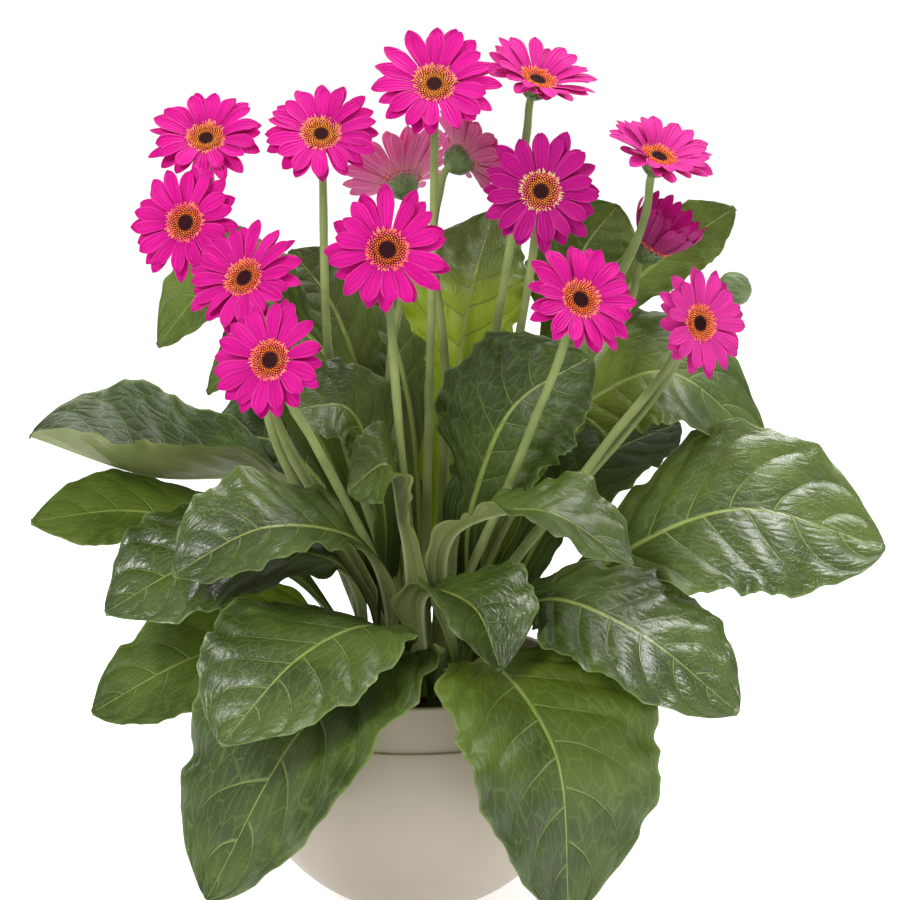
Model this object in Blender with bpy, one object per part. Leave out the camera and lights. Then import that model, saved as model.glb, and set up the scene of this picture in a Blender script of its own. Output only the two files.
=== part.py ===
"""A gerbera in flower, in a plain round pot.

Metres, +Z up. The pot's axis is the Z axis and its foot stands on Z = 0.
The plant is built as it grows: leaves and flower stems rise from the crown in the soil,
each leaf with its stalk in one piece, each flower head on the cup of its own stem.
"""
import math

import bpy
import numpy as np

MM = 0.001
GAP = 0.4 * MM              # clearance between pieces that touch

# Pot: part of a ball, with a raised band below the rim
BALL_RADIUS = 130 * MM
FOOT_RADIUS = 45 * MM
WALL = 5 * MM
FLOOR = 8 * MM
LEDGE_ABOVE_CENTRE = 30 * MM
LEDGE_STEP = 2.5 * MM       # how far the band stands back from the ball
RIM_BAND = 32 * MM          # height of the band from the ledge to the rim
RIM_LEAN = 7 * MM           # how far the band leans in over that height
RIM_ROUNDING = 2 * MM
TURNED_SIDES = 40

# Soil
SOIL_BELOW_RIM = 19 * MM

# Crown of the plant, where everything rises from the soil
CROWN = (10 * MM, -5 * MM)
OUTER_LEAF_RING = 42 * MM
INNER_LEAF_RING = 30 * MM
OUTER_STEM_RING = 20 * MM
INNER_STEM_RING = 8.5 * MM

# Leaves
STALK_LEAN = 0.35           # outward lean of a leaf's foot, per unit of rise
STALK_RADIUS = 2.8 * MM
BLADE_THICKNESS = 1.8 * MM
KEEL = 2.2 * MM             # how far the midrib stands out below the blade
SHOULDER = 0.55             # share of the half width that keeps the blade's thickness
SHOULDER_THICKNESS = 0.9    # share of the middle's thickness left there
FULLNESS = (0.45, 0.25)     # power of the outline's sine at the stalk, and its gain to the tip
WAVE = 5 * MM               # how far a margin swings up and down
WAVE_TURNS = 5.5            # radians of that swing along one blade
STEADY = 0.7                # how far a blade's cross-sections keep square to its whole line
STALK_RINGS = 5
BLADE_RINGS = 9
LAST_RING = 2.97            # the blade runs from station 1 to this, 3 being a bare point

# Flower stems and the cups on them
STEM_LEAN = 1.2             # lean of a stem's foot, per metre that its middle stands out
STEM_RADIUS = 3.1 * MM
STEM_SIDES = 8
LOWER_STEM_RINGS = 7
UPPER_STEM_RINGS = 5
NECK_BACK = 10 * MM         # a stem's last bend lies this far behind its top
NECK_DROP = 16 * MM         # and this far below it
CUP_RADIUS = 11 * MM
CUP_DEPTH = 11 * MM
CUP_SHAPE = [(0.35, 0.72), (0.75, 0.98), (1.0, 1.0)]  # shares of its depth and radius

# Flower heads
DISC_RADIUS = 12 * MM
DISC_RISE = 1.5 * MM        # rise of the disc's edge, and again of its middle
RAY_COUNT = 22
RAY_THICKNESS = 1.2 * MM
RAY_NOTCH = 0.16            # depth of the notch between two rays, as a share of their reach
FLAT_CUP = 0.1              # how far the rays' tips come forward, as a share of their reach
RAISED_CUPS = {2: 0.25, 11: 0.25, 12: 0.8, 14: 0.42, 15: 0.3}  # the same for the deeper heads
HEAD_BACK = 3 * MM          # depth of the head behind the rays' plane
BUD_RADIUS = 12.5 * MM
BUD_LENGTH = 27 * MM
BUD_STEM_RADIUS = 2.6 * MM


def clear_scene():
    for old in list(bpy.data.objects):
        bpy.data.objects.remove(old, do_unlink=True)


def material(name, colour, roughness):
    """A Principled material of one colour."""
    made = bpy.data.materials.new(name)
    made.use_nodes = True
    shader = made.node_tree.nodes["Principled BSDF"]
    shader.inputs["Base Color"].default_value = (*colour, 1)
    shader.inputs["Roughness"].default_value = roughness
    return made


def add_object(name, points, faces, look):
    """One closed mesh as a named object in the scene."""
    mesh = bpy.data.meshes.new(name)
    mesh.from_pydata([tuple(p) for p in points], [], faces)
    mesh.update()
    mesh.shade_smooth()
    mesh.set_sharp_from_angle(angle=math.radians(50))
    mesh.materials.append(look)
    made = bpy.data.objects.new(name, mesh)
    bpy.context.scene.collection.objects.link(made)
    return made


def unit(vector):
    return vector / np.linalg.norm(vector)


def direction(azimuth, elevation):
    """The unit vector at this azimuth from +X and elevation from level, in degrees."""
    a = math.radians(azimuth)
    e = math.radians(elevation)
    return np.array([math.cos(e) * math.cos(a), math.cos(e) * math.sin(a), math.sin(e)])


def smooth_path(points, start, end, stations):
    """Points and unit tangents of a smooth curve through points, at stations from 0 to the
    number of spans. Each span is a cubic whose end slopes are the chords' weighted mean."""
    p = np.array(points, float)
    span = np.linalg.norm(np.diff(p, axis=0), axis=1)
    chord = np.diff(p, axis=0) / span[:, None]
    slope = np.empty_like(p)
    before = span[:-1, None]
    after = span[1:, None]
    slope[1:-1] = (chord[1:] * before + chord[:-1] * after) / (before + after)
    slope[0] = unit(np.array(start, float))
    slope[-1] = unit(np.array(end, float))
    s = np.array(stations, float)
    i = np.minimum(s.astype(int), len(span) - 1)
    u = (s - i)[:, None]
    h = span[i][:, None]
    place = ((2 * u**3 - 3 * u**2 + 1) * p[i] + (u**3 - 2 * u**2 + u) * h * slope[i]
             + (3 * u**2 - 2 * u**3) * p[i + 1] + (u**3 - u**2) * h * slope[i + 1])
    tangent = ((6 * u**2 - 6 * u) * (p[i] - p[i + 1]) / h + (3 * u**2 - 4 * u + 1) * slope[i]
               + (3 * u**2 - 2 * u) * slope[i + 1])
    return place, tangent / np.linalg.norm(tangent, axis=1)[:, None]


def loft(rings):
    """Points and faces of a closed solid through rings of equal point count, ends capped.
    The rings run counter-clockwise seen from the far end looking back."""
    rings = np.array(rings)
    count, sides = rings.shape[:2]
    faces = []
    for r in range(count - 1):
        for k in range(sides):
            a = r * sides + k
            b = r * sides + (k + 1) % sides
            faces.append((a, b, b + sides, a + sides))
    faces.append(tuple(range(sides))[::-1])
    faces.append(tuple(range((count - 1) * sides, count * sides)))
    return rings.reshape(-1, 3), faces


def turned(name, profile, look):
    """A solid turned about the Z axis from a profile of (radius, height) points that starts
    and ends on the axis and runs down its outer side."""
    points = [(r, 0, z) for r, z in profile]
    edges = [(i, i + 1) for i in range(len(profile) - 1)]
    mesh = bpy.data.meshes.new(name)
    mesh.from_pydata(points, edges, [])
    mesh.materials.append(look)
    made = bpy.data.objects.new(name, mesh)
    bpy.context.scene.collection.objects.link(made)
    screw = made.modifiers.new("turn", "SCREW")
    screw.angle = math.tau
    screw.steps = TURNED_SIDES
    screw.render_steps = TURNED_SIDES
    screw.use_merge_vertices = True
    screw.merge_threshold = 1e-5
    screw.use_smooth_shade = True
    return made


# ---------------------------------------------------------------- pot and soil

ball_centre = math.sqrt(BALL_RADIUS**2 - FOOT_RADIUS**2)
ledge_height = ball_centre + LEDGE_ABOVE_CENTRE
ledge_radius = math.sqrt(BALL_RADIUS**2 - LEDGE_ABOVE_CENTRE**2)
rim_height = ledge_height + RIM_BAND
rim_radius = ledge_radius - LEDGE_STEP - RIM_LEAN
soil_height = rim_height - SOIL_BELOW_RIM


def ball_arc(radius, low, high, count, inset=0.0):
    """(radius, height) points on the ball from height low to height high, each moved
    towards the ball's centre by inset."""
    first = math.asin((low - ball_centre) / radius)
    last = math.asin((high - ball_centre) / radius)
    angles = np.linspace(first, last, count)
    near = radius - inset
    return [(near * math.cos(a), ball_centre + near * math.sin(a)) for a in angles]


def inner_wall(inset=0.0):
    """The inside of the pot's ball from the floor up to the ledge."""
    return ball_arc(BALL_RADIUS - WALL, FLOOR, ledge_height - WALL, 8, inset)


def pot_profile():
    """Up the inside from the middle of the floor, over the rim and down the outside."""
    inside = inner_wall()
    rim = [
        (rim_radius - WALL, rim_height - RIM_ROUNDING),
        (rim_radius - WALL + RIM_ROUNDING, rim_height),
        (rim_radius - RIM_ROUNDING, rim_height),
        (rim_radius, rim_height - RIM_ROUNDING),
    ]
    ledge = [
        (ledge_radius - LEDGE_STEP, ledge_height + LEDGE_STEP),
        (ledge_radius - LEDGE_STEP * 0.8, ledge_height),
    ]
    outside = ball_arc(BALL_RADIUS, 0, ledge_height, 10)[::-1]
    return [(0, FLOOR)] + inside + rim + ledge + outside + [(0, 0)]


def soil_profile():
    """The filling of the pot up to the soil's surface, clear of the wall by GAP."""
    side = inner_wall(GAP)
    low_radius, low = side[-1]
    share = (soil_height - low) / (rim_height - RIM_ROUNDING - low)
    edge = low_radius + (rim_radius - WALL - GAP - low_radius) * share
    return [(0, soil_height), (edge, soil_height)] + side[::-1] + [(0, side[0][1])]


# ---------------------------------------------------------------- leaves

def crown_spot(ring, angle):
    """A point just above the soil, on a ring about the crown."""
    a = math.radians(angle)
    x, y = CROWN
    return np.array([x + ring * math.cos(a), y + ring * math.sin(a), soil_height + GAP])


def above_soil(point):
    """A point given in mm from the middle of the soil's surface, in metres."""
    return np.array(point) * MM + np.array([0, 0, soil_height])


def half_width(t, width, belly):
    """Half the blade's width at t, from 0 at the stalk to 1 at the tip: the sine of a
    stretched t that peaks at belly, fuller towards the stalk than towards the tip."""
    s = t ** (math.log(0.5) / math.log(belly))
    power = FULLNESS[0] + FULLNESS[1] * s
    return 0.5 * width * math.sin(math.pi * s) ** power


def leaf(name, ring, angle, neck, crest, tip, width, fold=12, roll=0, belly=0.5):
    """A leaf with its stalk. neck, crest and tip are points of the midrib in mm above the
    soil: the start of the blade, its middle and its end. fold lifts both halves from the
    midrib, in degrees. roll lifts the left half and lowers the right one. belly is where
    along the blade it is widest."""
    base = crown_spot(ring, angle)
    marks = [base] + [above_soil(p) for p in (neck, crest, tip)]
    outward = unit(np.array([*(marks[1] - base)[:2], 0]))
    rise = np.array([0, 0, 1]) + STALK_LEAN * outward
    stations = np.concatenate([np.linspace(0, 1, STALK_RINGS, endpoint=False),
                               np.linspace(1, 3, BLADE_RINGS)])
    stations[-1] = LAST_RING
    place, along = smooth_path(marks, rise, marks[3] - marks[2], stations)
    along[0] = (0, 0, 1)
    heading = unit(np.array([*(marks[3] - base)[:2], 0]))
    level = np.array([-heading[1], heading[0], 0])
    whole = unit(marks[3] - marks[1])
    rings = []
    for s, centre, forward in zip(stations, place, along):
        forward = unit(forward + whole * STEADY * min(1.0, s) ** 2)
        flat = unit(level - forward * (level @ forward))
        over = np.cross(forward, flat)
        turn = math.radians(roll) * min(1.0, s)
        left = flat * math.cos(turn) + over * math.sin(turn)
        up = over * math.cos(turn) - flat * math.sin(turn)
        t = max(0.0, (s - 1) / 2)
        half = STALK_RADIUS
        grown = 0.0
        lift = 0.0
        if t > 0:
            half = max(STALK_RADIUS, half_width(t, width * MM, belly))
            grown = min(1.0, half / (STALK_RADIUS * 3))
            lift = math.radians(fold)
        top = STALK_RADIUS + (BLADE_THICKNESS / 2 - STALK_RADIUS) * grown
        bottom = top + KEEL * (1 - t) * grown
        ripple = WAVE * math.sin(WAVE_TURNS * t + angle) * grown * min(1, 4 * (1 - t))

        def point(v, thick):
            side = half * v * math.cos(lift)
            raised = half * abs(v) * math.sin(lift) + ripple * v * abs(v)
            return centre + left * side + up * (raised + thick)

        slab = top * SHOULDER_THICKNESS
        rings.append([
            point(-1, 0), point(-SHOULDER, -slab), point(0, -bottom), point(SHOULDER, -slab),
            point(1, 0), point(SHOULDER, slab), point(0, top), point(-SHOULDER, slab),
        ])
    points, faces = loft(rings)
    return add_object(name, points, faces, LEAF_LOOK)


# ---------------------------------------------------------------- flowers

def head_frame(facing):
    """The axis a head faces along, with two directions across it."""
    axis = direction(*facing)
    right = unit(np.cross([0, 0, 1], axis))
    return axis, right, np.cross(axis, right)


def flower(number, centre, facing, diameter, cup):
    """The open head: ray petals round a domed disc, in one piece. centre is the middle of
    the petals' plane in mm above the soil. cup is how far the petals' tips come forward, as
    a share of their reach."""
    axis, right, up = head_frame(facing)
    middle = above_soil(centre)
    reach = diameter * MM / 2
    teeth = 2 * RAY_COUNT

    def ring(radius, forward, count, turn=0.0):
        a = (np.arange(count) + turn) * math.tau / count
        radius = np.broadcast_to(radius, count)
        forward = np.broadcast_to(forward, count)
        return (middle + np.outer(radius * np.cos(a), right) + np.outer(radius * np.sin(a), up)
                + np.outer(forward, axis))

    tooth = np.where(np.arange(teeth) % 2, 1 - RAY_NOTCH, 1.0) * reach
    bend = cup * tooth
    front_in = ring(DISC_RADIUS, DISC_RISE, RAY_COUNT)
    front_mid = ring(DISC_RADIUS / 2, DISC_RISE * 2, RAY_COUNT // 2)
    edge_front = ring(tooth, bend + RAY_THICKNESS / 2, teeth)
    edge_back = ring(tooth, bend - RAY_THICKNESS / 2, teeth)
    back_in = ring(CUP_RADIUS, -HEAD_BACK, RAY_COUNT)
    rings = [front_mid, front_in, edge_front, edge_back, back_in]
    start = np.cumsum([0] + [len(r) for r in rings])
    faces = [tuple(range(start[0], start[1]))]
    for a, b, ratio in ((0, 1, 2), (1, 2, 2)):
        n = len(rings[a])
        for k in range(n):
            p, q = start[a] + k, start[a] + (k + 1) % n
            far = [start[b] + (ratio * k + j) % len(rings[b]) for j in range(ratio + 1)]
            faces += [(p, far[0], far[1]), (p, far[1], q), (q, far[1], far[2])]
    for k in range(teeth):
        m = (k + 1) % teeth
        faces.append((start[2] + k, start[3] + k, start[3] + m, start[2] + m))
    for k in range(RAY_COUNT):
        p, q = start[4] + k, start[4] + (k + 1) % RAY_COUNT
        far = [start[3] + (2 * k + j) % teeth for j in range(3)]
        faces += [(p, far[1], far[0]), (p, q, far[1]), (q, far[2], far[1])]
    faces.append(tuple(range(start[4], start[5]))[::-1])
    add_object(f"flower_{number}", np.concatenate(rings), faces, PETAL_LOOK)


def stem_route(centre, facing, ring, angle, mid, back):
    """Points and tangents of a stem from the crown through mid to the back of its head."""
    axis = direction(*facing)
    base = crown_spot(ring, angle)
    top = above_soil(centre) - axis * back
    neck = top - axis * NECK_BACK - np.array([0, 0, NECK_DROP])
    middle = above_soil(mid)
    outward = np.array([*(middle - base)[:2], 0])
    rise = np.array([0, 0, 1]) + STEM_LEAN * outward
    stations = np.concatenate([np.linspace(0, 2, LOWER_STEM_RINGS, endpoint=False),
                               np.linspace(2, 3, UPPER_STEM_RINGS)])
    place, along = smooth_path([base, middle, neck, top], rise, axis, stations)
    along[0] = (0, 0, 1)
    return place, along


def tube_ring(centre, tangent, radius):
    """A ring of points square to the tangent."""
    side = unit(np.cross(tangent, [0.3, 1, 0.1]))
    other = np.cross(tangent, side)
    a = np.arange(STEM_SIDES) * math.tau / STEM_SIDES
    return centre + radius * (np.outer(np.cos(a), side) + np.outer(np.sin(a), other))


def stem(number, centre, facing, ring, angle, mid):
    """A leafless stem with the green cup of bracts that holds its flower head."""
    back = CUP_DEPTH + HEAD_BACK + GAP
    place, along = stem_route(centre, facing, ring, angle, mid, back)
    rings = [tube_ring(p, t, STEM_RADIUS) for p, t in zip(place, along)]
    axis = direction(*facing)
    for depth, radius in CUP_SHAPE:
        rings.append(tube_ring(place[-1] + axis * CUP_DEPTH * depth, axis, CUP_RADIUS * radius))
    add_object(f"stem_{number}", *loft(rings), STEM_LOOK)


def bud(centre, facing, ring, angle, mid):
    """The closed bud, ridged and nodding, in one piece with its stem."""
    place, along = stem_route(centre, facing, ring, angle, mid, BUD_LENGTH / 2)
    rings = [tube_ring(p, t, BUD_STEM_RADIUS) for p, t in zip(place, along)]
    axis = direction(*facing)
    for a in np.linspace(-60, 75, 6):
        along_bud = math.sin(math.radians(a)) * BUD_LENGTH / 2
        radius = math.cos(math.radians(a)) * BUD_RADIUS
        rings.append(tube_ring(above_soil(centre) + axis * along_bud, axis, radius))
    add_object("bud_with_stem", *loft(rings), STEM_LOOK)


# ---------------------------------------------------------------- the plant

clear_scene()
POT_LOOK = material("pot_glaze", (0.62, 0.54, 0.45), 0.45)
SOIL_LOOK = material("soil", (0.06, 0.04, 0.03), 0.95)
LEAF_LOOK = material("leaf", (0.08, 0.18, 0.04), 0.35)
STEM_LOOK = material("stem", (0.28, 0.38, 0.13), 0.6)
PETAL_LOOK = material("petals", (0.80, 0.01, 0.35), 0.55)

turned("pot", pot_profile(), POT_LOOK)
turned("soil", soil_profile(), SOIL_LOOK)

OUT = OUTER_LEAF_RING
IN = INNER_LEAF_RING

# name, ring, angle on it, neck, crest and tip in mm above the soil, width in mm
leaf("leaf_left_high", OUT, 152,
     (-105, 42, 150), (-205, 60, 153), (-295, 50, 185), 175, fold=32, belly=0.56)
leaf("leaf_left_pointed", OUT, 170,
     (-130, 10, 115), (-220, 25, 132), (-290, 10, 127), 88, fold=5, roll=-25)
leaf("leaf_left_glossy", OUT, 202,
     (-54, -32, 104), (-155, -53, 113), (-225, -77, 80), 144, fold=6, roll=-17)
leaf("leaf_left_mid", IN, 232,
     (-44, -66, 134), (-105, -92, 148), (-172, -108, 117), 115, fold=15, roll=-24)
leaf("leaf_front_left", OUT, 228,
     (-22, -86, 70), (-80, -171, 72), (-130, -214, 24), 144, fold=8, roll=-5)
leaf("leaf_left_low", OUT, 187,
     (-70, -30, 55), (-160, -45, 38), (-240, -50, -5), 120, fold=5, roll=-30)
leaf("leaf_front_left_hanging", OUT, 248,
     (0, -90, 53), (-70, -165, 27), (-145, -187, -100), 184, belly=0.58)
leaf("leaf_front_right_hanging", OUT, 295,
     (52, -92, 47), (100, -172, 9), (112, -192, -112), 164, belly=0.5)
leaf("leaf_right_low", OUT, 322,
     (95, -60, 85), (160, -105, 75), (235, -130, 20), 132, fold=5, roll=22)
leaf("leaf_right_big", OUT, 350,
     (145, -20, 103), (240, -25, 145), (352, -30, 117), 156, fold=3, roll=40, belly=0.54)
leaf("leaf_right_arched", OUT, 305,
     (38, -80, 148), (93, -102, 163), (158, -122, 128), 98, fold=15, roll=5)
leaf("leaf_front_small", OUT, 275, (14, -78, 97), (46, -112, 92), (64, -135, 53), 90, fold=28)
leaf("leaf_centre_dark", IN, 326,
     (46, -23, 155), (77, -21, 225), (132, -18, 260), 112, fold=8, roll=65)
leaf("leaf_back_right_folded", IN, 33,
     (126, 63, 204), (188, 67, 232), (272, 60, 174), 129, fold=8, roll=40)
leaf("leaf_back_right_upper", IN, 62,
     (115, 115, 255), (135, 138, 320), (160, 145, 350), 92, roll=45)
leaf("leaf_back_right_tip", IN, 47,
     (150, 105, 275), (205, 125, 320), (250, 130, 350), 60, roll=50)
leaf("leaf_centre_upper", IN, 75, (33, 80, 223), (45, 98, 293), (62, 115, 350), 105, fold=8)
leaf("leaf_left_back", IN, 138, (-85, 86, 260), (-150, 106, 297), (-200, 96, 247), 98, roll=-45)
leaf("leaf_left_back_lower", IN, 152,
     (-90, 65, 205), (-125, 75, 245), (-160, 70, 215), 62, roll=-40)
leaf("leaf_upper_left", IN, 114, (-42, 98, 220), (-72, 130, 285), (-98, 140, 315), 72, roll=-20)
leaf("leaf_centre_left", IN, 193,
     (-26, -12, 160), (-52, -16, 222), (-90, -32, 222), 88, roll=-45)
leaf("leaf_left_dark", OUT, 133,
     (-65, 78, 130), (-115, 98, 172), (-168, 106, 165), 118, roll=-40)
leaf("leaf_centre_back", IN, 98, (-6, 110, 205), (-25, 150, 270), (-42, 175, 320), 85)
leaf("leaf_centre_small", IN, 245,
     (-7, -64, 145), (-20, -70, 190), (-47, -72, 170), 74, roll=-35)
leaf("leaf_right_dark", OUT, 8, (98, 24, 114), (150, 63, 167), (206, 84, 188), 108, roll=20)
leaf("leaf_back_low_right", OUT, 62,
     (40, 72, 70), (86, 130, 152), (130, 177, 190), 136, roll=10)
leaf("leaf_back_low_left", OUT, 112,
     (-14, 74, 70), (-50, 138, 152), (-70, 192, 192), 120, roll=-10)

# number, centre in mm above the soil, (azimuth, elevation) it faces, diameter in mm,
# ring, angle on it, middle of the stem
FLOWERS = [
    (1, (16, 30, 455), (-90, 38), 98, INNER_STEM_RING, 110, (12, 18, 225)),
    (2, (93, 60, 455), (-55, 60), 90, INNER_STEM_RING, 50, (62, 40, 265)),
    (3, (-157, 72, 410), (-95, 45), 90, OUTER_STEM_RING, 150, (-112, 42, 220)),
    (4, (-68, 30, 418), (-90, 40), 90, INNER_STEM_RING, 165, (-62, 25, 235)),
    (5, (-167, 3, 356), (-110, 18), 88, OUTER_STEM_RING, 175, (-112, 8, 220)),
    (6, (-119, -70, 326), (-120, 35), 90, OUTER_STEM_RING, 214, (-108, -38, 230)),
    (7, (-98, -125, 277), (-110, 22), 88, OUTER_STEM_RING, 237, (-71, -87, 211)),
    (8, (-17, -75, 348), (-90, 8), 92, OUTER_STEM_RING, 262, (-10, -48, 215)),
    (9, (94, -10, 381), (-85, 18), 92, INNER_STEM_RING, 290, (72, -3, 235)),
    (10, (120, -85, 313), (-65, 32), 88, OUTER_STEM_RING, 290, (84, -54, 205)),
    (11, (182, 20, 402), (-55, 60), 86, INNER_STEM_RING, 355, (130, 18, 265)),
    (12, (182, 80, 327), (-25, 55), 84, OUTER_STEM_RING, 31, (132, 25, 237)),
    (13, (208, -50, 290), (-55, 15), 82, OUTER_STEM_RING, 353, (140, -41, 195)),
    (14, (-10, 162, 366), (112, 45), 96, OUTER_STEM_RING, 110, (-19, 90, 235)),
    (15, (37, 92, 394), (32, 30), 86, OUTER_STEM_RING, 72, (24, 52, 235)),
]

for number, centre, facing, diameter, ring, angle, mid in FLOWERS:
    flower(number, centre, facing, diameter, RAISED_CUPS.get(number, FLAT_CUP))
    stem(number, centre, facing, ring, angle, mid)
bud((243, 50, 299), (-10, -25), OUTER_STEM_RING, 12, (195, -8, 253))
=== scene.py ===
"""A gerbera in flower, in a plain round pot: the looks, on the CAD frame. Metres, +Z up."""
import math

import bpy
import numpy as np
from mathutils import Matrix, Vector


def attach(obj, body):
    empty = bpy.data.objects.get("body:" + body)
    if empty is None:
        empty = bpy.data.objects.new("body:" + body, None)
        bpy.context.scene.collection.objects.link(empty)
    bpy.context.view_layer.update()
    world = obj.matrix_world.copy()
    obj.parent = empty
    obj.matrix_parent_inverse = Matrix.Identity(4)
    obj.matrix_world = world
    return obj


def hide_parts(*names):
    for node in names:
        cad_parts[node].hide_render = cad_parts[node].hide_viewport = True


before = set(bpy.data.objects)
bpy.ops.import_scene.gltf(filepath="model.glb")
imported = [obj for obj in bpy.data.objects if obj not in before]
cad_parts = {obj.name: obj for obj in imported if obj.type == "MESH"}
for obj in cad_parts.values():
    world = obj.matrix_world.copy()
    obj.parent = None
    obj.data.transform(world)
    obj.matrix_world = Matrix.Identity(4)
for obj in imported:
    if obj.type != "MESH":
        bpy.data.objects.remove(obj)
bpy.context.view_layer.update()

# ================================================================ camera
# A long lens a little above the plant, looking 12.5 degrees down.
AIM = Vector((0.0276, 0.0, 0.350))
DISTANCE = 2.2
PITCH = math.radians(12.5)
LENS = 117.33



def in_scene(name, data):
    """A new object in the scene, at the origin."""
    made = bpy.data.objects.new(name, data)
    bpy.context.scene.collection.objects.link(made)
    return made


camera = in_scene("camera", bpy.data.cameras.new("camera"))
look = Vector((0, math.cos(PITCH), -math.sin(PITCH)))
camera.location = AIM - look * DISTANCE
camera.rotation_euler = look.to_track_quat("-Z", "Y").to_euler()
camera.data.lens = LENS
camera.data.sensor_width = 36
bpy.context.scene.camera = camera


# ================================================================ pot
# One ceramic pot, turned: a ball with a low ledge and a raised band up to the rim.
# The glaze is a warm greige with a soft sheen. The pot stands on its flat foot.

MM = 0.001


def tone(red, green, blue):
    """A colour given as it looks on a screen, 0 to 255, in linear light."""
    c = np.array([red, green, blue]) / 255
    return (*np.where(c > 0.04045, ((c + 0.055) / 1.055) ** 2.4, c / 12.92), 1.0)


class Graph:
    """A material's shader graph, written as calls. Values go in as sockets or numbers."""

    def __init__(self, name):
        self.material = bpy.data.materials.new(name)
        self.material.use_nodes = True
        self.nodes = self.material.node_tree.nodes
        self.links = self.material.node_tree.links
        self.shader = self.nodes["Principled BSDF"]
        self.output = self.nodes["Material Output"]

    def put(self, socket, value):
        if isinstance(value, bpy.types.NodeSocket):
            self.links.new(value, socket)
        else:
            socket.default_value = value

    def set(self, **inputs):
        """Inputs of the Principled shader, with _ for a space in a name."""
        for name, value in inputs.items():
            self.put(self.shader.inputs[name.replace("_", " ")], value)

    def math(self, what, *values):
        node = self.nodes.new("ShaderNodeMath")
        node.operation = what
        for socket, value in zip(node.inputs, values):
            self.put(socket, value)
        return node.outputs[0]

    def times(self, first, second):
        return self.math("MULTIPLY", first, second)

    def plus(self, first, second):
        return self.math("ADD", first, second)

    def ramp(self, value, low, high, out_low=0.0, out_high=1.0):
        """Smoothly from out_low where value is low to out_high where it is high."""
        node = self.nodes.new("ShaderNodeMapRange")
        node.interpolation_type = "SMOOTHSTEP"
        for socket, v in zip(node.inputs, (value, low, high, out_low, out_high)):
            self.put(socket, v)
        return node.outputs[0]

    def mix(self, share, first, second):
        """Colour first where share is 0 and second where it is 1. A Mix node has sockets for
        each kind of value: its colours are inputs 6 and 7 and output 2."""
        node = self.nodes.new("ShaderNodeMix")
        node.data_type = "RGBA"
        self.put(node.inputs["Factor"], share)
        self.put(node.inputs[6], first)
        self.put(node.inputs[7], second)
        return node.outputs[2]

    def lay(self, base, share, strength, colour):
        """A colour laid over a base, strength times as much as share says."""
        return self.mix(self.times(share, strength), base, colour)

    def field(self, name):
        """A number stored on the mesh's points."""
        node = self.nodes.new("ShaderNodeAttribute")
        node.attribute_name = name
        return node.outputs["Fac"]

    def place(self, x=None, y=None, z=None):
        """A vector of three sockets, or the object's own coordinates."""
        if x is None:
            return self.nodes.new("ShaderNodeTexCoord").outputs["Object"]
        node = self.nodes.new("ShaderNodeCombineXYZ")
        for socket, value in zip(node.inputs, (x, y, z)):
            self.put(socket, value)
        return node.outputs[0]

    def noise(self, scale, detail=3.0, where=None, rough=0.5):
        node = self.nodes.new("ShaderNodeTexNoise")
        self.put(node.inputs["Vector"], where or self.place())
        node.inputs["Scale"].default_value = scale
        node.inputs["Detail"].default_value = detail
        node.inputs["Roughness"].default_value = rough
        return node.outputs["Fac"]

    def cells(self, scale, where):
        """How far a point is from the edges of a net of irregular cells."""
        node = self.nodes.new("ShaderNodeTexVoronoi")
        node.feature = "DISTANCE_TO_EDGE"
        node.inputs["Scale"].default_value = scale
        self.put(node.inputs["Vector"], where)
        return node.outputs["Distance"]

    def bump(self, height, distance):
        """Tilts the shading as a height, in shares of distance in metres, would."""
        node = self.nodes.new("ShaderNodeBump")
        node.inputs["Strength"].default_value = 1.0
        node.inputs["Distance"].default_value = distance
        self.put(node.inputs["Height"], height)
        self.put(self.shader.inputs["Normal"], node.outputs[0])

    def let_through(self, colour, share):
        """Makes a thin blade pass a share of the light from behind it, in that colour."""
        through = self.nodes.new("ShaderNodeBsdfTranslucent")
        self.put(through.inputs["Color"], colour)
        join = self.nodes.new("ShaderNodeMixShader")
        for socket, value in zip(join.inputs, (share, self.shader.outputs[0], through.outputs[0])):
            self.put(socket, value)
        self.put(self.output.inputs["Surface"], join.outputs[0])


SHARP_FROM = math.radians(70)   # an edge that turns by more than this shows as an edge


def shells(points):
    """Vertices and quads of closed shells. points[m, r, s] is point s of ring r of shell m.
    Neighbouring rings are joined, and each end is closed by quads across its ring. The
    quads face outwards, whichever way round the rings run."""
    count, rings, sides = points.shape[:3]
    s = np.arange(sides)
    after = (s + 1) % sides
    row = np.arange(rings - 1)[:, None] * sides
    side = np.stack([row + s, row + after, row + sides + after, row + sides + s], axis=-1)
    k = np.arange(sides // 2 - 1)
    low = np.stack([k, sides - 1 - k, sides - 2 - k, k + 1], axis=-1)
    high = (rings - 1) * sides + low[:, ::-1]
    quads = np.concatenate([side.reshape(-1, 4), low, high])
    p = points[0].reshape(-1, 3)
    a, b, c, d = (p[quads[:, i]] - p.mean(axis=0) for i in range(4))
    if np.einsum("ij,ij", a, np.cross(b, c)) + np.einsum("ij,ij", a, np.cross(c, d)) < 0:
        quads = quads[:, ::-1]
    shift = (np.arange(count) * rings * sides)[:, None, None]
    return points.reshape(-1, 3), (quads + shift).reshape(-1, 4)


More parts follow.
